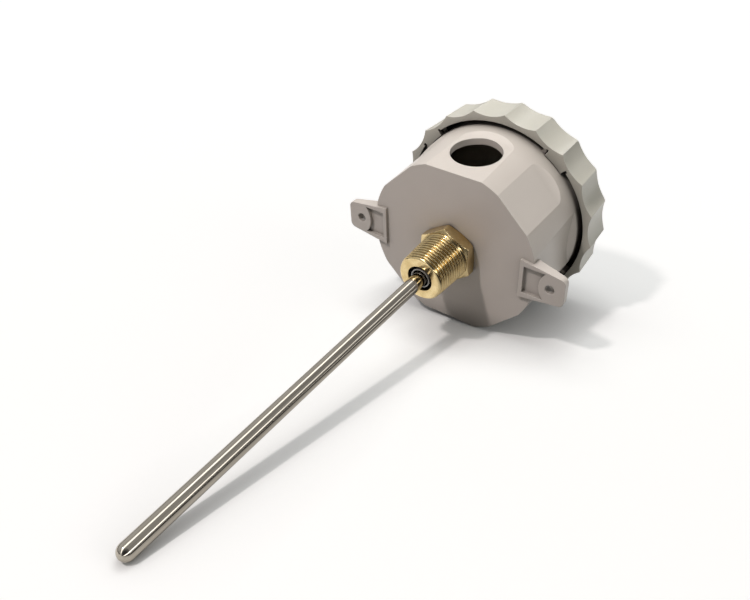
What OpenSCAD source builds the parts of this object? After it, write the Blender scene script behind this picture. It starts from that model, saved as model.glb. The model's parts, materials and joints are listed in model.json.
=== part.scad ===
// Temperature probe with a round connection head.
// Device frame: z = 0 is the plane of the ears' faces, +z runs along the probe to its tip, the cap
// is at -z, and +x points to the conduit opening. lay_down() then rests the device on a table, on
// two of the cap's ridges and the tip of the probe. All sizes are in millimetres and degrees.

/* [Housing] */
// Outer radius of the shell at its base
body_r = 39.6; // [38.5:0.1:40.2]
// How far the top and bottom flats cut into the shell, at the base
top_cut = 2.2; // [1:0.1:2.6]
// How far the four diagonal flats cut into the shell, at the base
diagonal_cut = 1.2; // [0.8:0.1:2.6]
// How far the two side flats cut into the collar
side_cut = 2.3; // [1:0.1:3.5]
// Draft of the top and bottom flats
top_draft = 2.2; // [0:0.1:2.5]
// Draft of the diagonal flats
diagonal_draft = 1.4; // [0:0.1:2]
// Depth of the top, bottom and diagonal flats, up to their hollow ends
flat_depth = 26.2; // [24:0.2:28]
// Radius of the flats' hollow ends
flat_end_r = 11; // [8:0.5:14]
// Thickness of the side wall
wall = 3; // [2:0.1:3.5]
// Thickness of the base wall
base_wall = 3.2; // [2.5:0.1:5]
// Gap between the collar and the cap's tabs
collar_gap = 0.4; // [0.3:0.05:1]

/* [Conduit opening] */
// Radius of the opening
conduit_r = 10.9; // [8:0.1:12]
// Distance of its centre from the base
conduit_z = 17.95; // [15:0.05:20]

/* [Ears] */
// How far the ears stand proud of the base
ear_proud = 1.25; // [0.5:0.05:2]
// Thickness of an ear beside the shell
ear_root_t = 5.2; // [4:0.1:7]
// Thickness of an ear at its outer end
ear_end_t = 2.8; // [2.6:0.1:4]
// How far an ear runs in over the base
ear_overlap = 6.6; // [4.6:0.2:8.6]
// How far an ear reaches out from the base
ear_reach = 13.4; // [12.4:0.2:18]
// Half height of an ear at its inner end
ear_half_in = 9.4; // [9:0.1:11]
// Half height of an ear at its outer end
ear_half_out = 6.8; // [6:0.1:8]
// Corner radius at an ear's outer end
ear_corner = 2.6; // [1:0.1:4]
// Distance from a screw hole to the ear's outer end
ear_hole_edge = 6.4; // [5:0.1:7]
// Radius of a screw hole
ear_hole_r = 2.1; // [1.5:0.1:2.5]
// Width of the rim round an ear's pocket
ear_rim = 1.6; // [1:0.1:2]
// Depth of an ear's pocket
ear_pocket = 1.6; // [1:0.1:2.5]
// Distance from the screw hole to the pocket
ear_land = 4.9; // [4:0.1:7]
// Radius of the curved side of the pocket
ear_arc = 10; // [9:0.5:16]

/* [Cap] */
// Number of scallops round the cap
scallops = 20; // [16:2:24]
// Turn of the locked cap against the conduit opening
cap_clock = -2.5; // [-8:0.5:8]
// Radius of the cap's ridges
ridge_r = 47.3; // [47:0.1:48]
// Depth of a scallop, at the cap's open face
scallop_depth = 2.1; // [1.6:0.1:2.4]
// Wall of the cap's skirt behind a scallop
skirt_wall = 2.2; // [1.8:0.1:2.6]
// Depth of the cap
cap_depth = 16.3; // [15:0.1:20]
// Distance of the cap's open face from the base
cap_z = 35.95; // [35.5:0.05:37]
// Draft of the scallops
ridge_draft = 2; // [0:0.1:3]
// Width of the bevel round the cap's closed face
face_bevel = 2.7; // [1.5:0.1:4]
// Thickness of the cap's closed face
cap_face = 3; // [2:0.1:4]

/* [Bayonet] */
// How far a tab stands in from the cap's skirt
tab_height = 2.1; // [1.4:0.1:2.2]
// Angle that a tab or a lug takes up
tab_span = 14; // [8:1:20]
// Angle of the first tab from the conduit opening
tab_at = 51; // [45:1:55]
// Thickness of a tab
tab_t = 2.6; // [2:0.1:3]
// Thickness of a lug
lug_t = 2.6; // [2:0.1:3]
// Clearance between a lug and the cap, round and along
bayonet_gap = 0.4; // [0.3:0.05:0.45]
// Angle of the relief slot at each end of a tab
relief_span = 1.6; // [1:0.1:3]
// How far a relief slot cuts into the skirt
relief_depth = 0.8; // [0.4:0.1:1]
// Angle that a lug's stop takes up
stop_span = 2.4; // [2:0.1:4]
// How far a lug's stop ends behind the cap's open face
stop_recess = 1.4; // [1:0.1:2]

/* [Gasket] */
// Thickness of the gasket
gasket_t = 2.2; // [1:0.1:3]
// Width of the gasket
gasket_w = 8.5; // [8:0.1:10]
// Gap between the rim of the housing and the gasket
rim_gap = 0.3; // [0.3:0.05:0.6]

/* [Threaded fitting] */
// Width across the hexagon's flats
hex_af = 23; // [22:0.5:25]
// Thickness of the hexagon
hex_t = 5.75; // [4:0.25:8]
// Turn of the hexagon
hex_turn = 3; // [0:1:59]
// Length of the tapered thread
thread_l = 18; // [14:0.5:22]
// Crest radius at the thread's nose
nose_r = 10.15; // [9.8:0.05:10.3]
// Crest radius at the hexagon
thread_r = 11; // [10.5:0.1:11.2]
// Pitch of the thread
pitch = 1.6; // [1.2:0.1:2]
// Depth of the thread
thread_depth = 0.9; // [0.5:0.05:1.2]
// Chamfer at the nose
nose_chamfer = 1.1; // [0.6:0.1:1.6]
// Radius of the fitting's bore
fitting_bore = 5.65; // [5.2:0.05:5.9]
// Radius of the shank that passes the base wall
shank_r = 8.5; // [8:0.1:9]
// Length of the shank behind the lock nut
shank_tail = 1.2; // [0.5:0.1:3]

/* [Lock nut] */
// Width across the nut's flats
nut_af = 24; // [22:0.5:24]
// Thickness of the nut
nut_t = 5; // [3:0.25:6]
// Thickness of the sealing washer
washer_t = 1.5; // [1:0.1:2]
// Outer radius of the sealing washer
washer_r = 12.4; // [11:0.1:13]

/* [Probe] */
// Outer radius of the sheath
sheath_r = 3.175; // [3:0.025:3.3]
// Wall of the sheath
sheath_wall = 0.6; // [0.4:0.1:0.9]
// Length of the sheath beyond the fitting's nose
probe_reach = 153.5; // [100:0.5:300]
// Length of the sheath behind the base
sheath_tail = 12.5; // [11:0.5:15]
// Outer radius of the sleeve round the sheath
sleeve_r = 4.3; // [4.1:0.05:4.6]
// Wall of the sleeve
sleeve_wall = 0.4; // [0.3:0.05:0.5]
// Length of the sleeve
sleeve_l = 12; // [10:0.5:16]
// Depth of the sleeve below the fitting's nose
sleeve_recess = 0.4; // [0.2:0.1:6]
// Depth of the potting below the fitting's nose
potting_recess = 1.6; // [1:0.1:8]
// Length of the sensing element
element_l = 25; // [10:1:40]
// Radius of the sensing element
element_r = 2; // [1.5:0.1:2.2]

/* [Leads] */
// Radius of a lead over its insulation
lead_r = 0.65; // [0.5:0.05:0.8]
// Distance of a lead from the axis
lead_at = 1.5; // [1.2:0.1:1.9]
// Bend radius of a lead
lead_bend = 3; // [2:0.1:4]
// How far a lead enters its clamp
lead_in = 3; // [1:0.1:4]

/* [Terminal block] */
// Outer radius of the block
block_r = 22; // [21.5:0.5:24]
// Thickness of the block
block_t = 9; // [6:0.5:12]
// Distance of the block's underside from the inside of the base
block_z = 14.5; // [13:0.5:16]
// Radius of the hole for the leads
block_hole_r = 5; // [4:0.1:5.5]
// Distance of the block's screws from the axis
post_at = 18; // [17.5:0.1:18.5]
// Radius of a post under the block
post_r = 3.4; // [3:0.1:3.6]
// Width of a clamp
clamp_w = 7; // [6:0.5:8]
// Height of a clamp
clamp_h = 6.5; // [6:0.5:8]
// Distance from the axis to a clamp's inner end
clamp_in = 8; // [7.5:0.1:8.5]
// Length of a clamp
clamp_l = 12.5; // [12:0.5:13]
// Radius of a clamp's wire hole
wire_hole_r = 0.9; // [0.9:0.05:1.1]
// Depth of a clamp's wire hole
wire_hole_l = 4.4; // [4.2:0.1:5]

/* [Screws] */
// Radius of a screw's shank
screw_r = 1.25; // [1:0.05:1.4]
// Radius of a screw's head
head_r = 2.5; // [2.1:0.1:2.8]
// Height of a screw's head
head_t = 1.7; // [1:0.1:2.5]
// Width of a screw's slot
slot_w = 0.7; // [0.4:0.1:1]
// Depth of a screw's slot
slot_depth = 0.8; // [0.4:0.1:0.9]
// Turn of the first screw's slot
slot_turn = 35; // [0:5:90]
// Turn from one screw's slot to the next
slot_step = 50; // [10:5:90]
// Length of a block screw in its post
screw_grip = 6; // [4:0.5:8]
// Clearance round a fixed piece in its seat
fit_gap = 0.05; // [0.03:0.01:0.08]

/* [Hidden] */
$fn = 96;
cut = 1;
terminals = 3;

// Places along the axis
base_z = -ear_proud;
floor_z = base_z - base_wall;
open_z = base_z - cap_z;
closed_z = open_z - cap_depth;
ceiling_z = closed_z + cap_face;
gasket_z = ceiling_z + gasket_t;
rim_z = gasket_z + rim_gap;
tab_z = open_z - tab_t;
lug_z = tab_z - bayonet_gap;
hex_z = base_z + hex_t;
nose_z = hex_z + thread_l;
washer_z = floor_z - washer_t;
nut_z = washer_z - nut_t;
shank_z = nut_z - shank_tail;
sleeve_z = nose_z - sleeve_recess - sleeve_l;
sheath_z = base_z - sheath_tail;
tip_z = nose_z + probe_reach;
tip_centre_z = tip_z - sheath_r;
block_under_z = floor_z - block_z;
block_top_z = block_under_z - block_t;
clamp_top_z = block_top_z - clamp_h;
wire_z = block_top_z - clamp_h / 2;
element_z = tip_centre_z - element_l;

// Radii and angles that follow from the sizes
valley_r = ridge_r - scallop_depth;
face_r = ridge_r - face_bevel;
cap_bore = valley_r - skirt_wall;
gasket_r = cap_bore - gasket_w;
tab_r = cap_bore - tab_height;
collar_r = tab_r - collar_gap;
lug_r = cap_bore - bayonet_gap;
top_flat = body_r - top_cut;
diagonal_flat = body_r - diagonal_cut;
side_flat = collar_r - side_cut;
ear_in = body_r - ear_overlap;
ear_out = body_r + ear_reach;
ear_hole_at = ear_out - ear_hole_edge;
relief_r = cap_bore + relief_depth;
bore_r = sheath_r - sheath_wall;
step = 360 / terminals;
half_scallop = 180 / scallops;
scallop_r = (2 * ridge_r * valley_r * cos(half_scallop) - ridge_r * ridge_r - valley_r * valley_r)
    / (2 * (valley_r - ridge_r * cos(half_scallop)));
thread_turns = floor((thread_l - nose_chamfer) / pitch);
thread_taper = (thread_r - nose_r) / thread_l;

// The device rests on two neighbouring ridges and on the tip, which lie in one level plane
ridge_drop = ridge_r * cos(half_scallop);
ridge_to_tip = tip_centre_z - open_z;
rest_lean = atan2(ridge_drop, ridge_to_tip)
    - asin(sheath_r / sqrt(ridge_drop * ridge_drop + ridge_to_tip * ridge_to_tip));
rest_roll = -(cap_clock + half_scallop);

shell_grey = [0.76, 0.74, 0.71];
brass = [0.80, 0.64, 0.30];
steel = [0.66, 0.65, 0.63];
rubber_black = [0.05, 0.05, 0.05];
phenolic = [0.23, 0.08, 0.05];
ceramic = [0.90, 0.88, 0.82];
lead_colours = ["firebrick", "firebrick", "white"];

// Puts the device on its side, with the tip low along +x and the conduit opening up
module lay_down() {
    rotate([rest_roll, rest_lean, 0])
        rotate([180, -90, 0])
            children();
}

// Part of a ring, from radius r0 to r1 and height z0 to z1, centred on angle at
module sector(r0, r1, z0, z1, at, span) {
    rotate([0, 0, at - span / 2])
        rotate_extrude(angle = span)
            translate([r0, z0])
                square([r1 - r0, z1 - z0]);
}

module ring(r0, r1, z0, z1) {
    difference() {
        translate([0, 0, z0])
            cylinder(r = r1, h = z1 - z0);
        translate([0, 0, z0 - cut])
            cylinder(r = r0, h = z1 - z0 + 2 * cut);
    }
}

// Hexagon with its corners turned off at both faces
module hexagon(af, z0, z1) {
    flat_r = af / 2;
    corner_r = flat_r / cos(30);
    bevel = (corner_r - flat_r) * tan(30);
    intersection() {
        translate([0, 0, z0])
            cylinder(r = corner_r, h = z1 - z0, $fn = 6);
        rotate_extrude()
            polygon([
                [0, z0], [flat_r, z0], [corner_r + cut, z0 + bevel + cut * tan(30)],
                [corner_r + cut, z1 - bevel - cut * tan(30)], [flat_r, z1], [0, z1]
            ]);
    }
}

// Everything outside one flat, whose plane leans outward by the draft towards the cap
module outside_flat(at, distance, draft, depth) {
    rotate([0, 0, at])
        translate([distance, 0, base_z])
            rotate([0, -draft, 0])
                translate([0, -body_r, -depth])
                    cube([body_r, 2 * body_r, 2 * depth]);
}

// The hollow end of such a flat, which rises from it to the round shell
module flat_end(at, distance, draft, end_r) {
    rotate([0, 0, at])
        translate([distance, 0, base_z])
            rotate([0, -draft, 0])
                translate([end_r, 0, -flat_depth])
                    rotate([90, 0, 0])
                        cylinder(r = end_r, h = 2 * body_r, center = true);
}

// The shell's form from base to rim; inset makes the same form smaller for the cavity
module shell_form(inset, z_base, z_rim) {
    difference() {
        rotate_extrude()
            polygon([
                [0, z_rim], [collar_r - inset, z_rim], [collar_r - inset, open_z],
                [body_r - inset, base_z], [body_r - inset, z_base], [0, z_base]
            ]);
        for (at = [0, 180]) {
            outside_flat(at, top_flat - inset, top_draft, flat_depth);
            flat_end(at, top_flat - inset, top_draft, flat_end_r + inset);
        }
        for (at = [45 : 90 : 315]) {
            outside_flat(at, diagonal_flat - inset, diagonal_draft, flat_depth);
            flat_end(at, diagonal_flat - inset, diagonal_draft, flat_end_r + inset);
        }
        for (at = [90, 270])
            outside_flat(at, side_flat - inset, 0, 2 * cap_z);
    }
}

// Outline of an ear, tapered, with round corners at its outer end
module ear_outline() {
    corner_x = ear_out - ear_corner;
    corner_y = ear_half_out - ear_corner;
    lean = atan2(ear_half_in - ear_half_out, ear_out - ear_in);
    tangent_x = corner_x + ear_corner * sin(lean);
    tangent_y = corner_y + ear_corner * cos(lean);
    polygon([
        [ear_in, -ear_half_in], [tangent_x, -tangent_y], [ear_out, -corner_y],
        [ear_out, corner_y], [tangent_x, tangent_y], [ear_in, ear_half_in]
    ]);
    for (side = [-1, 1])
        translate([corner_x, side * corner_y])
            circle(r = ear_corner);
}

// An ear, thinner towards its outer end
module ear() {
    intersection() {
        translate([0, 0, -2 * ear_root_t])
            linear_extrude(height = 2 * ear_root_t)
                ear_outline();
        rotate([90, 0, 0])
            linear_extrude(height = 4 * ear_half_in, center = true)
                polygon([
                    [0, 0], [ear_out + cut, 0], [ear_out + cut, -ear_end_t], [ear_out, -ear_end_t],
                    [side_flat, -ear_root_t], [0, -ear_root_t]
                ]);
    }
}

// An ear's pocket and screw hole
module ear_cuts() {
    pocket_in = ear_in + ear_rim;
    pocket_half = ear_half_out - ear_rim + (ear_half_in - ear_half_out) / 2;
    translate([0, 0, -ear_pocket])
        difference() {
            translate([pocket_in, -pocket_half, 0])
                cube([ear_hole_at - pocket_in, 2 * pocket_half, ear_pocket + cut]);
            translate([ear_hole_at - ear_land + ear_arc, 0, -cut])
                cylinder(r = ear_arc, h = ear_pocket + 3 * cut);
        }
    translate([ear_hole_at, 0, -ear_root_t - cut])
        cylinder(r = ear_hole_r, h = ear_root_t + 2 * cut);
}

// A lug hooks behind a tab, and its stop keeps the locked cap from turning further
module lug(at) {
    sector(collar_r - wall / 2, lug_r, lug_z - lug_t, lug_z, at, tab_span);
    sector(collar_r - wall / 2, lug_r, lug_z - lug_t, open_z - stop_recess,
        at + tab_span / 2 + relief_span / 2 + stop_span / 2, stop_span);
}

module housing() {
    color(shell_grey)
        difference() {
            union() {
                shell_form(0, base_z, rim_z);
                for (at = [90, 270])
                    rotate([0, 0, at])
                        ear();
                for (k = [0 : 3])
                    lug(tab_at + 90 * k);
            }
            difference() {
                shell_form(wall, floor_z, rim_z - cut);
                for (k = [0 : terminals - 1])
                    rotate([0, 0, (k + 0.5) * step])
                        translate([post_at, 0, block_under_z])
                            cylinder(r = post_r, h = block_z + cut);
            }
            for (at = [90, 270])
                rotate([0, 0, at])
                    ear_cuts();
            translate([0, 0, floor_z - cut])
                cylinder(r = shank_r + fit_gap, h = base_wall + 2 * cut);
            translate([0, 0, base_z - conduit_z])
                rotate([0, 90, 0])
                    cylinder(r = conduit_r, h = 2 * body_r);
            for (k = [0 : terminals - 1])
                rotate([0, 0, (k + 0.5) * step])
                    translate([post_at, 0, block_under_z - cut])
                        cylinder(r = screw_r + fit_gap, h = screw_grip + 2 * cut);
        }
}

// One scallop of the grip, which leans inward by the draft towards the cap's closed face
module scallop(at) {
    rotate([0, 0, at])
        translate([valley_r + scallop_r, 0, open_z])
            rotate([0, ridge_draft, 0])
                translate([0, 0, -2 * cap_depth])
                    cylinder(r = scallop_r, h = 3 * cap_depth);
}

module cap() {
    rim_r = ridge_r + cut;
    color(shell_grey)
        difference() {
            rotate_extrude()
                polygon([
                    [0, closed_z], [face_r, closed_z], [rim_r, closed_z + rim_r - face_r],
                    [rim_r, open_z], [0, open_z]
                ]);
            for (k = [0 : scallops - 1])
                scallop(cap_clock + (k + 0.5) * 360 / scallops);
            difference() {
                union() {
                    translate([0, 0, ceiling_z])
                        cylinder(r = cap_bore, h = cap_depth);
                    for (k = [0 : 3])
                        sector(cap_bore - cut, relief_r, tab_z - relief_depth, open_z + cut,
                            tab_at + 90 * k, tab_span + 2 * relief_span);
                }
                for (k = [0 : 3])
                    sector(tab_r, relief_r + cut, tab_z, open_z + 2 * cap_depth,
                        tab_at + 90 * k, tab_span);
            }
        }
}

module cap_gasket() {
    color(rubber_black)
        ring(gasket_r, cap_bore - fit_gap, ceiling_z, gasket_z);
}

// Tapered nose with ring grooves at the thread's pitch, hexagon, and shank through the base wall
module threaded_fitting() {
    function crest(z) = nose_r + (nose_z - z) * thread_taper;
    color(brass)
        difference() {
            union() {
                rotate_extrude()
                    polygon(concat(
                        [[0, shank_z], [shank_r, shank_z], [shank_r, hex_z]],
                        [for (k = [0 : thread_turns - 1], half = [0, 1])
                            let (z = hex_z + (k + half / 2) * pitch)
                            [crest(z) - (half == 0 ? thread_depth : 0), z]],
                        [
                            [nose_r - thread_depth, hex_z + thread_turns * pitch],
                            [nose_r - nose_chamfer, nose_z], [0, nose_z]
                        ]
                    ));
                rotate([0, 0, hex_turn])
                    hexagon(hex_af, base_z, hex_z);
            }
            translate([0, 0, shank_z - cut])
                cylinder(r = fitting_bore, h = nose_z - shank_z + 2 * cut);
        }
}

module sealing_washer() {
    color(rubber_black)
        ring(shank_r + fit_gap, washer_r, washer_z, floor_z);
}

module lock_nut() {
    color(brass)
        difference() {
            hexagon(nut_af, nut_z, washer_z);
            translate([0, 0, nut_z - cut])
                cylinder(r = shank_r + fit_gap, h = nut_t + 2 * cut);
        }
}

module probe_sheath() {
    color(steel)
        difference() {
            union() {
                translate([0, 0, sheath_z])
                    cylinder(r = sheath_r, h = tip_centre_z - sheath_z);
                translate([0, 0, tip_centre_z])
                    sphere(r = sheath_r);
            }
            translate([0, 0, sheath_z - cut])
                cylinder(r = bore_r, h = tip_centre_z - sheath_z + cut);
            translate([0, 0, tip_centre_z])
                sphere(r = bore_r);
        }
}

module bore_sleeve() {
    color(steel)
        ring(sleeve_r - sleeve_wall, sleeve_r, sleeve_z, sleeve_z + sleeve_l);
}

// Fills the fitting round the sheath, with a groove that holds the sleeve
module bore_potting() {
    color(rubber_black)
        difference() {
            ring(sheath_r + fit_gap, fitting_bore - fit_gap, shank_z, nose_z - potting_recess);
            ring(sleeve_r - sleeve_wall - fit_gap, sleeve_r + fit_gap, sleeve_z, nose_z);
        }
}

module rtd_element() {
    color(ceramic)
        translate([0, 0, element_z])
            cylinder(r = element_r, h = element_l);
}

// Ceramic rod that fills the sheath behind the element, with a hole for each lead
module sheath_insulator() {
    color(ceramic)
        difference() {
            translate([0, 0, sheath_z])
                cylinder(r = bore_r - fit_gap, h = element_z - sheath_z);
            for (k = [0 : terminals - 1])
                rotate([0, 0, k * step])
                    translate([lead_at, 0, sheath_z - cut])
                        cylinder(r = lead_r + fit_gap, h = element_z - sheath_z + 2 * cut);
        }
}

// A lead runs from the element through the insulator and bends outward into its clamp
module lead_wire(k) {
    bend_z = wire_z + lead_bend;
    bend_x = lead_at + lead_bend;
    color(lead_colours[k])
        rotate([0, 0, k * step]) {
            translate([lead_at, 0, bend_z])
                cylinder(r = lead_r, h = element_z - bend_z);
            translate([bend_x, 0, bend_z])
                rotate([90, 0, 0])
                    rotate([0, 0, 180])
                        rotate_extrude(angle = 90)
                            translate([lead_bend, 0])
                                circle(r = lead_r);
            translate([bend_x, 0, wire_z])
                rotate([0, 90, 0])
                    cylinder(r = lead_r, h = clamp_in + lead_in - bend_x);
        }
}

module terminal_block() {
    color(phenolic)
        difference() {
            translate([0, 0, block_top_z])
                cylinder(r = block_r, h = block_t);
            translate([0, 0, block_top_z - cut])
                cylinder(r = block_hole_r, h = block_t + 2 * cut);
            for (k = [0 : terminals - 1])
                rotate([0, 0, (k + 0.5) * step])
                    translate([post_at, 0, block_top_z - cut])
                        cylinder(r = screw_r + fit_gap, h = block_t + 2 * cut);
        }
}

module terminal_clamp(k) {
    clamp_end = clamp_in + clamp_l;
    color(brass)
        rotate([0, 0, k * step])
            difference() {
                translate([clamp_in, -clamp_w / 2, clamp_top_z])
                    cube([clamp_l, clamp_w, clamp_h]);
                translate([clamp_in - cut, 0, wire_z])
                    rotate([0, 90, 0])
                        cylinder(r = wire_hole_r, h = wire_hole_l + cut);
                translate([clamp_end - wire_hole_l, 0, wire_z])
                    rotate([0, 90, 0])
                        cylinder(r = wire_hole_r, h = wire_hole_l + cut);
                for (x = [clamp_in + clamp_l / 4, clamp_end - clamp_l / 4])
                    translate([x, 0, clamp_top_z - cut])
                        cylinder(r = screw_r + fit_gap, h = wire_z - clamp_top_z - lead_r + cut);
            }
}

// Slotted cheese-head screw, its head above z = 0 towards -z and its shank towards +z
module screw(length, turn) {
    color(steel)
        difference() {
            union() {
                cylinder(r = screw_r, h = length);
                translate([0, 0, -head_t])
                    cylinder(r = head_r, h = head_t);
            }
            rotate([0, 0, turn])
                translate([-head_r - cut, -slot_w / 2, -head_t - cut])
                    cube([2 * (head_r + cut), slot_w, slot_depth + cut]);
        }
}

module terminal_screw(k, outer) {
    rotate([0, 0, k * step])
        translate([clamp_in + clamp_l * (outer ? 3 : 1) / 4, 0, clamp_top_z])
            screw(wire_z - clamp_top_z - lead_r - fit_gap, slot_turn + slot_step * k);
}

module block_screw(k) {
    rotate([0, 0, (k + 0.5) * step])
        translate([post_at, 0, block_top_z])
            screw(block_t + screw_grip, slot_turn + slot_step * (k + 0.5));
}

lay_down() housing();
lay_down() cap();
lay_down() cap_gasket();
lay_down() threaded_fitting();
lay_down() sealing_washer();
lay_down() lock_nut();
lay_down() probe_sheath();
lay_down() bore_sleeve();
lay_down() bore_potting();
lay_down() rtd_element();
lay_down() sheath_insulator();
lay_down() lead_wire(0);  // lead_wire_1
lay_down() lead_wire(1);  // lead_wire_2
lay_down() lead_wire(2);  // lead_wire_3
lay_down() terminal_block();
lay_down() terminal_clamp(0);  // terminal_clamp_1
lay_down() terminal_clamp(1);  // terminal_clamp_2
lay_down() terminal_clamp(2);  // terminal_clamp_3
lay_down() terminal_screw(0, false);  // terminal_screw_1
lay_down() terminal_screw(0, true);  // terminal_screw_2
lay_down() terminal_screw(1, false);  // terminal_screw_3
lay_down() terminal_screw(1, true);  // terminal_screw_4
lay_down() terminal_screw(2, false);  // terminal_screw_5
lay_down() terminal_screw(2, true);  // terminal_screw_6
lay_down() block_screw(0);  // block_screw_1
lay_down() block_screw(1);  // block_screw_2
lay_down() block_screw(2);  // block_screw_3
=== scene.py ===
import json
import math

import bmesh
import bpy
from mathutils import Matrix, Vector


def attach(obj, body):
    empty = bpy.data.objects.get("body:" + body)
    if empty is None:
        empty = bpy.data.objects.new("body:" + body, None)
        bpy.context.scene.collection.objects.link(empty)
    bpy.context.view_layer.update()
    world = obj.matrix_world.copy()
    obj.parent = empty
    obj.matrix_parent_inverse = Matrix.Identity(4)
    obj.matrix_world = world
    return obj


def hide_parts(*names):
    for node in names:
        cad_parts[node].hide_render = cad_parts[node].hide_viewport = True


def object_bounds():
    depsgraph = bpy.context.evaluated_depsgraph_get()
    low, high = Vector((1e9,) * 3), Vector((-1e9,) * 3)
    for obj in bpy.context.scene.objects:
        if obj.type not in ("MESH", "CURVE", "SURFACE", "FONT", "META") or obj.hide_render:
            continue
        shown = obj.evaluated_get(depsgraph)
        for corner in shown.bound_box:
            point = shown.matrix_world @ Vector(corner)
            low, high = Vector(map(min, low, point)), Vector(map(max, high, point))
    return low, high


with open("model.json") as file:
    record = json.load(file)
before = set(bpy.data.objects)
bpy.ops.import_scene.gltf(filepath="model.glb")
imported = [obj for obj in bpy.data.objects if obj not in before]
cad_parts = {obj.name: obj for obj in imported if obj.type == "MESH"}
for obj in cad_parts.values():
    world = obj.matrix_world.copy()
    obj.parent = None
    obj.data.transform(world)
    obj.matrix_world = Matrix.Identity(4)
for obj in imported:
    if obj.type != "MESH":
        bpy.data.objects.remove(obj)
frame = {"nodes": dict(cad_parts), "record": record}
cad_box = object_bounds()

MM = 0.001
FLOOR_Z = cad_box[0][2]

# The probe's own axes, in the frame: z runs along the probe to its tip, x to the conduit opening
mounts = {mount["name"]: mount for mount in frame["record"]["mounts"]}
axis_z = Vector(mounts["ear_holes"]["axis"])
axis_x = Vector(mounts["conduit_opening"]["axis"])
axis_y = axis_z.cross(axis_x)
probe_axes = Matrix((axis_x, axis_y, axis_z)).transposed().to_4x4()


def cad_points(name):
    """The points of a CAD node, in millimetres along the probe's own axes."""
    to_probe = Matrix.Scale(1 / MM, 4) @ probe_axes.inverted()
    return [to_probe @ vertex.co for vertex in frame["nodes"][name].data.vertices]


# Camera, fitted to the photograph

CAMERA_EYE = Vector((252.65, 156.33, 128.17)) * MM
CAMERA_TARGET = Vector((36.17, -12.00, -12.05)) * MM
CAMERA_ROLL = math.radians(-0.59)
CAMERA_LENS = 36.40


def look_at(eye, target):
    turn = (target - eye).to_track_quat("-Z", "Y").to_matrix().to_4x4()
    return Matrix.Translation(eye) @ turn


def place(name, data, matrix):
    made = bpy.data.objects.new(name, data)
    bpy.context.scene.collection.objects.link(made)
    made.matrix_world = matrix
    return made


def make_camera():
    data = bpy.data.cameras.new("camera")
    data.sensor_width = 36.0
    data.lens = CAMERA_LENS
    data.clip_start = 0.01
    data.clip_end = 20.0
    turned = look_at(CAMERA_EYE, CAMERA_TARGET) @ Matrix.Rotation(CAMERA_ROLL, 4, "Z")
    bpy.context.scene.camera = place("camera", data, turned)


make_camera()


# Node trees

NOISE_LIMITS = (0.3, 0.7)
WORN_AND_GLINT_TURN = (0.93, 0.995)  # cosines of the turn of a rounded normal on a worn, glinting edge and on a flat


class Nodes:
    """Builds the node tree of a material or of the world."""

    def __init__(self, owner, keep_nodes=False):
        owner.use_nodes = True
        self.tree = owner.node_tree
        if not keep_nodes:
            self.tree.nodes.clear()

    def fill(self, node, inputs):
        """Sets or links a node's inputs, given by name or number; None leaves an input as it is."""
        for key, value in inputs.items():
            if isinstance(value, bpy.types.NodeSocket):
                self.tree.links.new(value, node.inputs[key])
            elif value is not None:
                node.inputs[key].default_value = value

    def add(self, kind, *values, inputs=None, **settings):
        """Adds a node, with values for its first inputs in their order and for others by name."""
        node = self.tree.nodes.new(kind)
        for name, value in settings.items():
            setattr(node, name, value)
        self.fill(node, {**dict(enumerate(values)), **(inputs or {})})
        return node

    def math(self, operation, *values):
        return self.add("ShaderNodeMath", *values, operation=operation).outputs[0]

    def product(self, first, *others):
        for other in others:
            first = self.math("MULTIPLY", first, other)
        return first

    def vector_math(self, operation, first, second):
        return self.add("ShaderNodeVectorMath", first, second, operation=operation).outputs["Vector"]

    def dot(self, first, second):
        return self.add("ShaderNodeVectorMath", first, second, operation="DOT_PRODUCT").outputs["Value"]

    def between(self, value, limits, first, second):
        """The first level where the value is at the lower limit, and the second where at the upper."""
        return self.add("ShaderNodeMapRange", value, *limits, first, second).outputs["Result"]


def rgba(colour):
    return colour if isinstance(colour, bpy.types.NodeSocket) else (*colour, 1)


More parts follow.
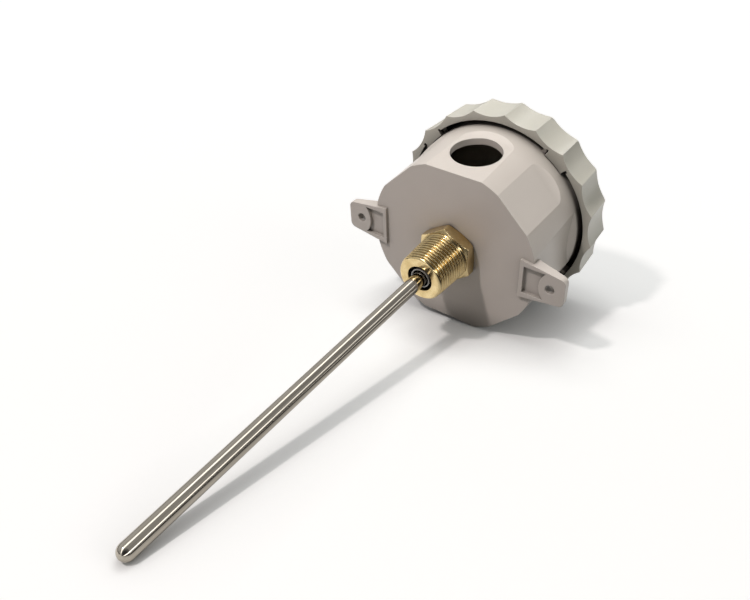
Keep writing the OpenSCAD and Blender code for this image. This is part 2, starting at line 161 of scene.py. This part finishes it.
class Paint(Nodes):
    """A node material whose patterns are laid out in millimetres along the probe's own axes."""

    def __init__(self, name, colour, roughness, metallic=0.0, **inputs):
        self.material = bpy.data.materials.new(name)
        super().__init__(self.material, keep_nodes=True)
        self.shader = self.tree.nodes["Principled BSDF"]
        plain = {"Base Color": rgba(colour), "Roughness": roughness, "Metallic": metallic}
        self.fill(self.shader, {**plain, **inputs})
        self.normal = None
        metres = self.add("ShaderNodeTexCoord").outputs["Object"]
        turned = {"Rotation": probe_axes.inverted().to_euler(), "Scale": (1 / MM,) * 3}
        self.mm = self.add("ShaderNodeMapping", metres, inputs=turned).outputs["Vector"]

    def noise(self, scale, detail=3.0, roughness=0.55, stretch=(1, 1, 1), vector=None):
        """Noise with its features about 1/scale millimetres wide."""
        point = self.vector_math("MULTIPLY", vector or self.mm, stretch)
        inputs = {"Vector": point, "Scale": scale, "Detail": detail, "Roughness": roughness}
        return self.add("ShaderNodeTexNoise", inputs=inputs).outputs["Fac"]

    def turned(self):
        """Distance from the probe's axis and place along it: what a pattern cut on a lathe follows."""
        x, y, z = self.add("ShaderNodeSeparateXYZ", self.mm).outputs
        squared = self.math("ADD", self.product(x, x), self.product(y, y))
        return self.add("ShaderNodeCombineXYZ", self.math("SQRT", squared), 0.0, z).outputs["Vector"]

    def spread(self, noise, low, high, limits=NOISE_LIMITS):
        """The noise, mostly within its limits, as a number between low and high."""
        return self.between(noise, limits, low, high)

    def mix(self, share, first, second):
        """The first colour where the share is 0, and the second where it is 1."""
        inputs = {0: share, 6: rgba(first), 7: rgba(second)}
        return self.add("ShaderNodeMix", inputs=inputs, data_type="RGBA").outputs[2]

    def bevel(self, radius):
        return self.add("ShaderNodeBevel", radius * MM, samples=6).outputs["Normal"]

    def round_edges(self, radius):
        self.normal = self.bevel(radius)

    def edge_wear_and_glint(self, radius):
        """1 on the edges, where a rounded normal turns away from the true one, and 0 elsewhere."""
        flat = self.add("ShaderNodeNewGeometry").outputs["True Normal"]
        return self.between(self.dot(self.bevel(radius), flat), WORN_AND_GLINT_TURN, 1.0, 0.0)

    def recess(self, reach, limits):
        """0 deep in a gap or groove narrower than the reach in millimetres, and 1 on an open surface."""
        occlusion = self.add("ShaderNodeAmbientOcclusion", inputs={"Distance": reach * MM}, samples=8)
        return self.between(occlusion.outputs["AO"], limits, 0.0, 1.0)

    def bump(self, height, depth, strength=1.0):
        """Raises the surface by up to depth millimetres where height is 1."""
        inputs = {"Height": height, "Distance": depth * MM, "Strength": strength, "Normal": self.normal}
        self.normal = self.add("ShaderNodeBump", inputs=inputs).outputs["Normal"]

    def finish(self, **inputs):
        self.fill(self.shader, {name.replace("_", " "): value for name, value in inputs.items()})
        self.fill(self.shader, {"Normal": self.normal})
        return self.material


# Materials

SHELL_GREY = (0.640, 0.580, 0.532)
SHELL_DARK = (0.560, 0.502, 0.457)
CAP_GREY = (0.610, 0.585, 0.515)
CAP_DARK = (0.530, 0.505, 0.440)
BRASS = (0.860, 0.695, 0.390)
BRASS_DARK = (0.560, 0.395, 0.165)
STEEL = (0.560, 0.515, 0.445)
STEEL_DARK = (0.240, 0.212, 0.165)
STEEL_WARM = (0.600, 0.540, 0.450)
ZINC = (0.700, 0.690, 0.660)
# Painted shade colours, mixed into the plastic's corners and recesses where ambient occlusion is low.
SHELL_PAINTED_SHADE = (0.340, 0.310, 0.280)
CAP_PAINTED_SHADE = (0.060, 0.057, 0.050)
# Painted shade for narrow gaps, such as the one between housing and cap: nearly black.
GAP_PAINTED_SHADE = (0.035, 0.030, 0.026)
# Paler colour of the moulded edges: partly wear, partly a painted highlight for the glint of light on them.
WORN_AND_GLINTING_EDGE = (0.840, 0.800, 0.750)
MOULDED_EDGE_R = 0.35
CORNER_REACH, GAP_REACH, GROOVE_REACH = 12.0, 3.5, 5.0


def plastic(name, light, dark, shade):
    """Moulded plastic with edges paler from wear and a painted highlight, painted shade in its corners and
    painted shade, nearly black, in its gaps.
    """
    paint = Paint(name, light, 0.34, **{"IOR": 1.52, "Coat Weight": 0.12, "Coat Roughness": 0.22})
    paint.round_edges(MOULDED_EDGE_R)
    cloud = paint.noise(0.055, detail=4)
    grain = paint.noise(2.4, detail=5, roughness=0.65)
    flow = paint.noise(0.35, detail=3, stretch=(1, 1, 0.25))
    specks = paint.spread(paint.noise(1.3, detail=1), 0.0, 0.30, (0.76, 0.84))
    colour = paint.mix(paint.spread(cloud, 0.0, 0.22), light, dark)
    colour = paint.mix(specks, colour, dark)
    # Painted highlight: the rounded edges are paled toward the edge colour, standing in for wear and for
    # their glint.
    colour = paint.mix(paint.product(paint.edge_wear_and_glint(MOULDED_EDGE_R), 0.60), colour, WORN_AND_GLINTING_EDGE)
    # Painted shade: corners and recesses within the corner reach darken toward the shade colour.
    colour = paint.mix(paint.recess(CORNER_REACH, (0.35, 1.0)), shade, colour)
    # Painted shade: narrow gaps are painted nearly black where ambient occlusion is low.
    colour = paint.mix(paint.recess(GAP_REACH, (0.05, 0.45)), GAP_PAINTED_SHADE, colour)
    paint.bump(flow, 0.05, 0.25)
    paint.bump(grain, 0.016, 0.35)
    return paint.finish(Base_Color=colour, Roughness=paint.spread(grain, 0.30, 0.44))


def black_rubber():
    paint = Paint("black_rubber", (0.018, 0.018, 0.018), 0.75, **{"Specular IOR Level": 0.3})
    paint.bump(paint.noise(3.0, detail=4), 0.03, 0.5)
    dust = paint.spread(paint.noise(0.4), 0.0, 0.6)
    return paint.finish(Base_Color=paint.mix(dust, (0.015, 0.015, 0.015), (0.035, 0.034, 0.033)))


def black_potting():
    paint = Paint("black_potting", (0.004, 0.004, 0.004), 0.8, **{"Specular IOR Level": 0.05})
    paint.bump(paint.noise(0.8, detail=2), 0.15, 0.6)
    return paint.finish(Roughness=paint.spread(paint.noise(1.5), 0.7, 0.95))


def brass(name, light, dark, roughness):
    """Brass with turning marks round the probe's axis, tarnished in patches, and darker in its grooves with
    tarnish and painted shade.
    """
    paint = Paint(name, light, roughness, 1.0)
    paint.round_edges(0.05)
    lathe = paint.noise(4.0, detail=4, roughness=0.7, vector=paint.turned())
    tarnish = paint.noise(0.30, detail=5, roughness=0.6)
    colour = paint.mix(paint.spread(tarnish, 0.0, 0.8, (0.42, 0.74)), light, dark)
    colour = paint.mix(paint.spread(lathe, 0.0, 0.35), colour, dark)
    # Grooves darken where ambient occlusion is low: partly tarnish, partly painted shade.
    groove_tarnish_and_shade = tuple(0.7 * value for value in dark)
    colour = paint.mix(paint.recess(GROOVE_REACH, (0.30, 0.95)), groove_tarnish_and_shade, colour)
    paint.bump(lathe, 0.020, 0.6)
    paint.bump(paint.noise(1.6, detail=3), 0.010, 0.4)
    return paint.finish(Base_Color=colour, Roughness=paint.spread(lathe, roughness * 0.75, roughness * 1.4))


def stainless():
    """Polished tube with faint marks drawn along its length."""
    paint = Paint("stainless", STEEL, 0.18, 1.0)
    drawn = paint.noise(3.2, detail=4, roughness=0.7, stretch=(1, 1, 0.02))
    cloud = paint.noise(0.25, detail=3, stretch=(1, 1, 0.15))
    colour = paint.mix(paint.spread(drawn, 0.0, 0.55), STEEL, STEEL_DARK)
    colour = paint.mix(paint.spread(cloud, 0.0, 0.25), colour, STEEL_WARM)
    paint.bump(drawn, 0.006, 0.5)
    return paint.finish(Base_Color=colour, Roughness=paint.spread(drawn, 0.05, 0.11))


def dull_steel():
    paint = Paint("dull_steel", (0.42, 0.41, 0.39), 0.5, 0.6)
    paint.bump(paint.noise(2.0), 0.01, 0.4)
    return paint.finish(Roughness=paint.spread(paint.noise(1.2), 0.40, 0.60))


def ceramic():
    paint = Paint("ceramic", (0.80, 0.78, 0.72), 0.5)
    paint.bump(paint.noise(5.0), 0.01, 0.4)
    colour = paint.mix(paint.spread(paint.noise(1.2), 0.0, 0.5), (0.82, 0.80, 0.74), (0.70, 0.67, 0.60))
    return paint.finish(Base_Color=colour)


def insulation(name, colour, shade):
    paint = Paint(name, colour, 0.4)
    paint.bump(paint.noise(2.0, stretch=(1, 1, 0.2)), 0.02, 0.4)
    mottled = paint.mix(paint.spread(paint.noise(0.9), 0.0, 0.6), colour, shade)
    return paint.finish(Base_Color=mottled, Roughness=paint.spread(paint.noise(1.4), 0.32, 0.5))


def phenolic():
    paint = Paint("phenolic", (0.055, 0.012, 0.008), 0.42)
    paint.round_edges(0.4)
    paint.bump(paint.noise(1.8, detail=5), 0.03, 0.5)
    marbling = paint.spread(paint.noise(0.5, detail=5, roughness=0.7), 0.0, 1.0)
    colour = paint.mix(marbling, (0.090, 0.018, 0.012), (0.028, 0.009, 0.007))
    return paint.finish(Base_Color=colour, Roughness=paint.spread(paint.noise(0.9), 0.34, 0.55))


def screw_steel():
    paint = Paint("screw_steel", ZINC, 0.28, 1.0)
    paint.round_edges(0.2)
    paint.bump(paint.noise(5.0, detail=3), 0.010, 0.5)
    colour = paint.mix(paint.spread(paint.noise(0.8, detail=4), 0.0, 0.7), ZINC, (0.46, 0.45, 0.42))
    return paint.finish(Base_Color=colour, Roughness=paint.spread(paint.noise(1.5), 0.22, 0.42))


finishes = {
    "shell_plastic": plastic("shell_plastic", SHELL_GREY, SHELL_DARK, SHELL_PAINTED_SHADE),
    "cap_plastic": plastic("cap_plastic", CAP_GREY, CAP_DARK, CAP_PAINTED_SHADE),
    "black_rubber": black_rubber(),
    "black_potting": black_potting(),
    "brass": brass("brass", BRASS, BRASS_DARK, 0.16),
    "stainless": stainless(),
    "ceramic": ceramic(),
    "red_insulation": insulation("red_insulation", (0.36, 0.018, 0.012), (0.25, 0.012, 0.010)),
    "white_insulation": insulation("white_insulation", (0.78, 0.77, 0.72), (0.66, 0.64, 0.58)),
    "phenolic": phenolic(),
    "terminal_brass": brass("terminal_brass", (0.74, 0.58, 0.30), (0.50, 0.38, 0.18), 0.3),
    "screw_steel": screw_steel(),
}

for part in frame["record"]["subparts"]:
    node = frame["nodes"][part["node"]]
    node.data.materials.clear()
    node.data.materials.append(finishes[part["material_slot"]])
frame["nodes"]["bore_sleeve"].data.materials[0] = dull_steel()


# The threaded fitting: hexagon, true tapered thread and bore, as rings of points round the axis.
# Its sizes are in millimetres, and follow the CAD fitting where they can be read from its points.

SAME = 0.01  # places nearer than this are one place
fitting_points = cad_points("threaded_fitting")
SHANK_Z = min(point.z for point in fitting_points)
SHANK_R = max(point.xy.length for point in fitting_points if point.z < SHANK_Z + SAME)
NOSE_Z = max(point.z for point in fitting_points)
BORE_R = min(point.xy.length for point in fitting_points)
CORNER_R = max(point.xy.length for point in fitting_points)
FLAT_R = CORNER_R * math.cos(math.radians(30))
HEX_CHAMFER = math.tan(math.radians(30))
corner_heights = [point.z for point in fitting_points if point.xy.length > CORNER_R - SAME]
HEX_BACK = min(corner_heights) - (CORNER_R - FLAT_R) * HEX_CHAMFER
HEX_FRONT = max(corner_heights) + (CORNER_R - FLAT_R) * HEX_CHAMFER
HEX_TURN = math.radians(3)
HEX_FACE = 0.985  # radius of the face left by the chamfer, as a share of that of the flats
NOSE_R, THREAD_R = 10.15, 11.0
NOSE_ROUND = 1.3
PITCH = 1.6
THREAD_DEPTH = 0.80
CREST_FLAT, ROOT_FLAT = 0.16, 0.05  # shares of the pitch
THREAD_START = 0.6 * PITCH
BORE_CHAMFER = 0.35
BORE_EDGE = ((0, 1), (1 / 3, 1 / 3), (1, 0))  # how deep and how far out, as shares of the chamfer
AROUND = 192
HEX_STEP, THREAD_STEP = 0.144, 0.11
SHARP = math.radians(28)


def clamped(value):
    return min(max(value, 0.0), 1.0)


def steps(start, end, step):
    """Heights from start to end, spaced evenly and about a step apart."""
    count = round((end - start) / step)
    return [start + (end - start) * k / count for k in range(count + 1)]


def thread_radius(z, turn):
    """Radius of the tapered right-hand thread and its rounded nose at this height and angle."""
    crest = NOSE_R + (NOSE_Z - z) * (THREAD_R - NOSE_R) / (NOSE_Z - HEX_FRONT)
    phase = ((z - HEX_FRONT) / PITCH - turn / math.tau) % 1.0
    rise = clamped((abs(phase - 0.5) * 2 - ROOT_FLAT) / (1 - ROOT_FLAT - CREST_FLAT))
    groove = 1 - rise * rise * (3 - 2 * rise)
    threaded = crest - THREAD_DEPTH * groove * clamped((z - HEX_FRONT) / THREAD_START)
    below = NOSE_Z - z
    round_part = min(below, NOSE_ROUND)
    rounded = math.sqrt(NOSE_ROUND ** 2 - (NOSE_ROUND - round_part) ** 2) + below - round_part
    return min(threaded, NOSE_R - NOSE_ROUND + rounded)


def hexagon_radius(z, turn):
    """Radius of the hexagon, with its corners turned off at both faces."""
    side = (turn - HEX_TURN) % math.radians(60) - math.radians(30)
    flat = FLAT_R / math.cos(side)
    edge = min(z - HEX_BACK, HEX_FRONT - z)
    return min(flat, FLAT_R * HEX_FACE + edge / HEX_CHAMFER)


def ring(z, radius):
    """Points round the probe's axis; the radius is a number, or a function of height and angle."""
    turns = [math.tau * k / AROUND for k in range(AROUND)]
    return [(radius(z, turn) if callable(radius) else radius, turn, z) for turn in turns]


def fitting_rings():
    """The rings from the shank's tail out to the nose and back through the bore."""
    rings = [ring(SHANK_Z, SHANK_R), ring(HEX_BACK, SHANK_R)]
    rings += [ring(z, hexagon_radius) for z in steps(HEX_BACK, HEX_FRONT, HEX_STEP)]
    rings += [ring(z, thread_radius) for z in steps(HEX_FRONT, NOSE_Z, THREAD_STEP)]
    rings += [ring(NOSE_Z - BORE_CHAMFER * deep, BORE_R + BORE_CHAMFER * out) for deep, out in BORE_EDGE]
    return rings + [ring(SHANK_Z, BORE_R)]


def smooth_mesh(name, made, sharp_angle):
    """A mesh that is shaded smooth but for its sharp edges."""
    bmesh.ops.recalc_face_normals(made, faces=made.faces)
    for face in made.faces:
        face.smooth = True
    for edge in made.edges:
        edge.smooth = edge.calc_face_angle(0.0) < sharp_angle
    mesh = bpy.data.meshes.new(name)
    made.to_mesh(mesh)
    made.free()
    return mesh


def mesh_from_rings(name, rings, sharp_angle):
    """A closed tube in the frame's own metres and place, whose last ring joins the first."""
    made = bmesh.new()
    rows = []
    for points in rings:
        rows.append([made.verts.new((r * math.cos(turn), r * math.sin(turn), z)) for r, turn, z in points])
    for row, following in zip(rows, rows[1:] + rows[:1]):
        for k in range(len(row)):
            after = (k + 1) % len(row)
            made.faces.new((row[k], row[after], following[after], following[k]))
    made.transform(probe_axes @ Matrix.Scale(MM, 4))
    return smooth_mesh(name, made, sharp_angle)


def make_fitting():
    mesh = mesh_from_rings("fitting_detail", fitting_rings(), SHARP)
    mesh.materials.append(finishes["brass"])
    fitting = place("fitting_detail", mesh, Matrix())
    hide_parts("threaded_fitting")
    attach(fitting, "head")


make_fitting()


# The collar's run-out: a cone that ends the side flats a little before the cap

COLLAR_SUNK = 0.04
RUNOUT_DEPTH = 2.56
RUNOUT_BEFORE, COLLAR_BEFORE, COLLAR_BEHIND = 4.2, 0.6, 1.3  # distances from the cap's open face
cap_open_z = max(point.z for point in cad_points("cap"))
collar_points = [point for point in cad_points("housing") if abs(point.z - cap_open_z) < SAME]
collar_r = max(point.xy.length for point in collar_points) - COLLAR_SUNK


def make_runout():
    runout_r = collar_r - RUNOUT_DEPTH
    end_z = cap_open_z - COLLAR_BEHIND
    outline = ((cap_open_z + RUNOUT_BEFORE, runout_r), (cap_open_z + COLLAR_BEFORE, collar_r),
               (end_z, collar_r), (end_z, runout_r))
    mesh = mesh_from_rings("collar_runout", [ring(z, radius) for z, radius in outline], SHARP)
    mesh.materials.append(finishes["shell_plastic"])
    runout = place("collar_runout", mesh, Matrix())
    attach(runout, "head")


make_runout()


# The cap: its scallops run out through the closed face, past a narrower bevel than the solid's

SOLID_BEVEL, CAP_BEVEL = 2.7 * MM, 1.1 * MM
FACE_SET_IN = 0.3 * MM
EDGE_DRAFT = 0.23  # how far a point of the old bevel is drawn in, as a share of its way down
CAP_SHARP = math.radians(20)


def make_cap():
    """Copies the CAD cap, and moves the points of its wide bevel onto a narrower one."""
    made = bmesh.new()
    made.from_mesh(frame["nodes"]["cap"].data)
    bmesh.ops.remove_doubles(made, verts=made.verts, dist=SAME * MM)
    made.transform(probe_axes.inverted())
    ridge_r = max(vertex.co.xy.length for vertex in made.verts)
    solid_z = min(vertex.co.z for vertex in made.verts)
    closed_z = solid_z + FACE_SET_IN
    for vertex in made.verts:
        radius = vertex.co.xy.length
        if radius > ridge_r - SOLID_BEVEL + 2 * SAME * MM and vertex.co.z < solid_z + SOLID_BEVEL:
            lowered = closed_z + max(radius - (ridge_r - CAP_BEVEL), 0.0)
            drawn_in = max(vertex.co.z - lowered, 0.0) * EDGE_DRAFT / radius
            vertex.co = (vertex.co.x * (1 - drawn_in), vertex.co.y * (1 - drawn_in), lowered)
        vertex.co.z = max(vertex.co.z, closed_z)
    made.transform(probe_axes)
    mesh = smooth_mesh("cap_detail", made, CAP_SHARP)
    if "custom_normal" in mesh.attributes:
        mesh.attributes.remove(mesh.attributes["custom_normal"])
    mesh.materials.clear()
    mesh.materials.append(finishes["cap_plastic"])
    cap = place("cap_detail", mesh, Matrix())
    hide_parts("cap")
    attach(cap, "cap")


make_cap()


# Floor, world and lamps

LAMP_AIM = Vector((-10, 10, -10)) * MM
LAMPS = {  # place in millimetres, size in metres, watts, colour
    "front": ((462, -117, 600), (0.05, 0.05), 2.9, (1.0, 0.935, 0.915)),
    "top": ((20, -39, 260), (0.16, 0.16), 0.36, (0.970, 1.0, 0.965)),
    "side": ((40, 450, 120), (0.30, 0.16), 0.50, (0.99, 1.0, 0.945)),
}
SHARE = (0.0, 1.0)  # the limits of a value that is itself a share

# The room that reflections show. Its limits are parts of a direction of length 1: upward, across the
# probe, toward its tip, or back past the camera.
ROOM_LIGHT = 0.12
ROOM_LOW, ROOM_WALL, ROOM_CEILING, ROOM_BEHIND_CAMERA = 0.06, 0.62, 0.45, 0.05
WALL_STARTS, WALL_ENDS = (0.05, 0.25), (0.74, 0.92)
NEAR_SIDE, NEAR_SIDE_DIM = (0.0, 0.4), 0.5
BEHIND_CAMERA = (0.45, 0.95)
LIGHT_ENDS = (-0.10, -0.60)
CEILING_LIGHT = (-0.16, 0.12, 2.5, 2.9)  # slope, half its width, level toward the tip and toward the head
WALL_LIGHT = (0.44, 0.09, 4.4, 1.7)
SMALLEST_RUN = 0.001

# The paper, in metres
FLOOR_HALF = 4.0
PAPER, PAPER_BOUNCE, PAPER_LEVEL = 0.62, 0.33, 1.025
PAPER_WHITE = (1.0, 0.995, 0.985)
# Painted contact shadow: how far and how strongly the glow is darkened where the probe nears the paper.
CONTACT_SHADOW_REACH, CONTACT_SHADOW_POWER = 0.03, 1.6
DIM_ACROSS, DIM_ALONG, DIM_MOST = (-0.01, 0.07), (-0.07, -0.02), 0.96  # where reflections show it dim, a painted shade beside the probe


def lamp_on_floor(tree, point, eye, watts):
    """What a small lamp that is aimed at the head gives an open spot of the floor."""
    lamp = Vector(eye) * MM
    ray = tree.vector_math("SUBTRACT", point, lamp)
    facing = tree.math("MAXIMUM", tree.dot(ray, (LAMP_AIM - lamp).normalized()), 0.0)
    squared = tree.dot(ray, ray)
    over_floor = (lamp.z - FLOOR_Z) * watts / math.pi ** 2
    return tree.math("DIVIDE", tree.product(facing, over_floor), tree.product(squared, squared))


def make_floor():
    """White paper: a glow that only the camera and reflections see makes up for the lamps' fall-off, is
    darkened into a painted shadow where the probe nears the paper, and shows painted shade in reflections
    beside the probe.
    """
    corners = [(-FLOOR_HALF, -FLOOR_HALF, 0), (FLOOR_HALF, -FLOOR_HALF, 0),
               (FLOOR_HALF, FLOOR_HALF, 0), (-FLOOR_HALF, FLOOR_HALF, 0)]
    mesh = bpy.data.meshes.new("floor")
    mesh.from_pydata(corners, [], [(0, 1, 2, 3)])
    floor = place("floor", mesh, Matrix.Translation((0, 0, FLOOR_Z)))
    material = bpy.data.materials.new("floor")
    tree = Nodes(material)
    path = tree.add("ShaderNodeLightPath").outputs
    seen = tree.math("MAXIMUM", path["Is Camera Ray"], path["Is Glossy Ray"])
    point = tree.add("ShaderNodeNewGeometry").outputs["Position"]
    along, across, up = tree.add("ShaderNodeSeparateXYZ", point).outputs
    # Painted shade that only reflections show: the paper beside the probe looks dim to glossy rays.
    painted_reflection_shade = tree.product(tree.between(across, DIM_ACROSS, 0.0, DIM_MOST),
                       tree.between(along, DIM_ALONG, 0.0, 1.0))
    reflection_unshaded = tree.math("SUBTRACT", 1.0, tree.product(path["Is Glossy Ray"], painted_reflection_shade))
    paper_grey = tree.product(reflection_unshaded, tree.between(seen, SHARE, PAPER_BOUNCE, PAPER))
    paper = tree.add("ShaderNodeBsdfDiffuse", paper_grey)
    missing = PAPER_LEVEL / PAPER - ROOM_LIGHT
    for eye, size, watts, colour in LAMPS.values():
        missing = tree.math("SUBTRACT", missing, lamp_on_floor(tree, point, eye, watts))
    # Painted contact shadow: the glow is darkened by ambient occlusion near the probe.
    occlusion = tree.add("ShaderNodeAmbientOcclusion", inputs={"Distance": CONTACT_SHADOW_REACH}, samples=16)
    painted_contact_shadow_mask = tree.math("POWER", occlusion.outputs["AO"], CONTACT_SHADOW_POWER)
    glow = tree.product(tree.math("MAXIMUM", missing, 0.0), PAPER, painted_contact_shadow_mask)
    white = tree.add("ShaderNodeEmission", rgba(PAPER_WHITE), tree.product(seen, reflection_unshaded, glow))
    total = tree.add("ShaderNodeAddShader", paper.outputs[0], white.outputs[0])
    tree.add("ShaderNodeOutputMaterial", total.outputs[0])
    mesh.materials.append(material)


def make_world():
    """White to the camera and plain for diffuse light; reflections show a room with two narrow lights."""
    world = bpy.data.worlds.new("world")
    bpy.context.scene.world = world
    tree = Nodes(world)
    path = tree.add("ShaderNodeLightPath").outputs
    direction = tree.add("ShaderNodeTexCoord").outputs["Generated"]
    level_y = Vector((0, 1, 0))
    toward_tip = tree.dot(direction, axis_z)
    across = tree.dot(direction, level_y)
    above = tree.dot(direction, axis_z.cross(level_y))
    height = tree.dot(direction, Vector((0, 0, 1)))
    backward = tree.dot(direction, (CAMERA_EYE - CAMERA_TARGET).normalized())
    wall = tree.math("MINIMUM", tree.between(height, WALL_STARTS, ROOM_LOW, ROOM_WALL),
                  tree.between(height, WALL_ENDS, ROOM_WALL, ROOM_CEILING))
    near_side = tree.product(tree.between(across, NEAR_SIDE, 0.0, 1.0),
                             tree.between(toward_tip, LIGHT_ENDS, 0.0, 1.0))
    wall = tree.product(wall, tree.between(near_side, SHARE, 1.0, NEAR_SIDE_DIM))
    room = tree.math("MINIMUM", wall, tree.between(backward, BEHIND_CAMERA, ROOM_WALL, ROOM_BEHIND_CAMERA))
    for run, rise, light in ((above, across, CEILING_LIGHT), (across, above, WALL_LIGHT)):
        slope, half_width, first, last = light
        gradient = tree.math("DIVIDE", rise, tree.math("MAXIMUM", run, SMALLEST_RUN))
        inside = tree.math("COMPARE", gradient, slope, half_width)
        light_level = tree.between(toward_tip, LIGHT_ENDS, first, last)
        room = tree.math("MAXIMUM", room, tree.product(inside, light_level))
    reflected = tree.between(path["Is Glossy Ray"], SHARE, ROOM_LIGHT, room)
    level = tree.between(path["Is Camera Ray"], SHARE, reflected, 1.0)
    background = tree.add("ShaderNodeBackground", (1, 1, 1, 1), level)
    tree.add("ShaderNodeOutputWorld", background.outputs[0])


def make_lamps():
    for name, (eye, size, watts, colour) in LAMPS.items():
        data = bpy.data.lights.new(name, "AREA")
        data.shape = "RECTANGLE"
        data.size, data.size_y = size
        data.energy = watts
        data.color = colour
        lamp = place(name, data, look_at(Vector(eye) * MM, LAMP_AIM))
        lamp.visible_glossy = name == "front"


make_floor()
make_world()
make_lamps()
bpy.context.scene.view_settings.view_transform = "Standard"
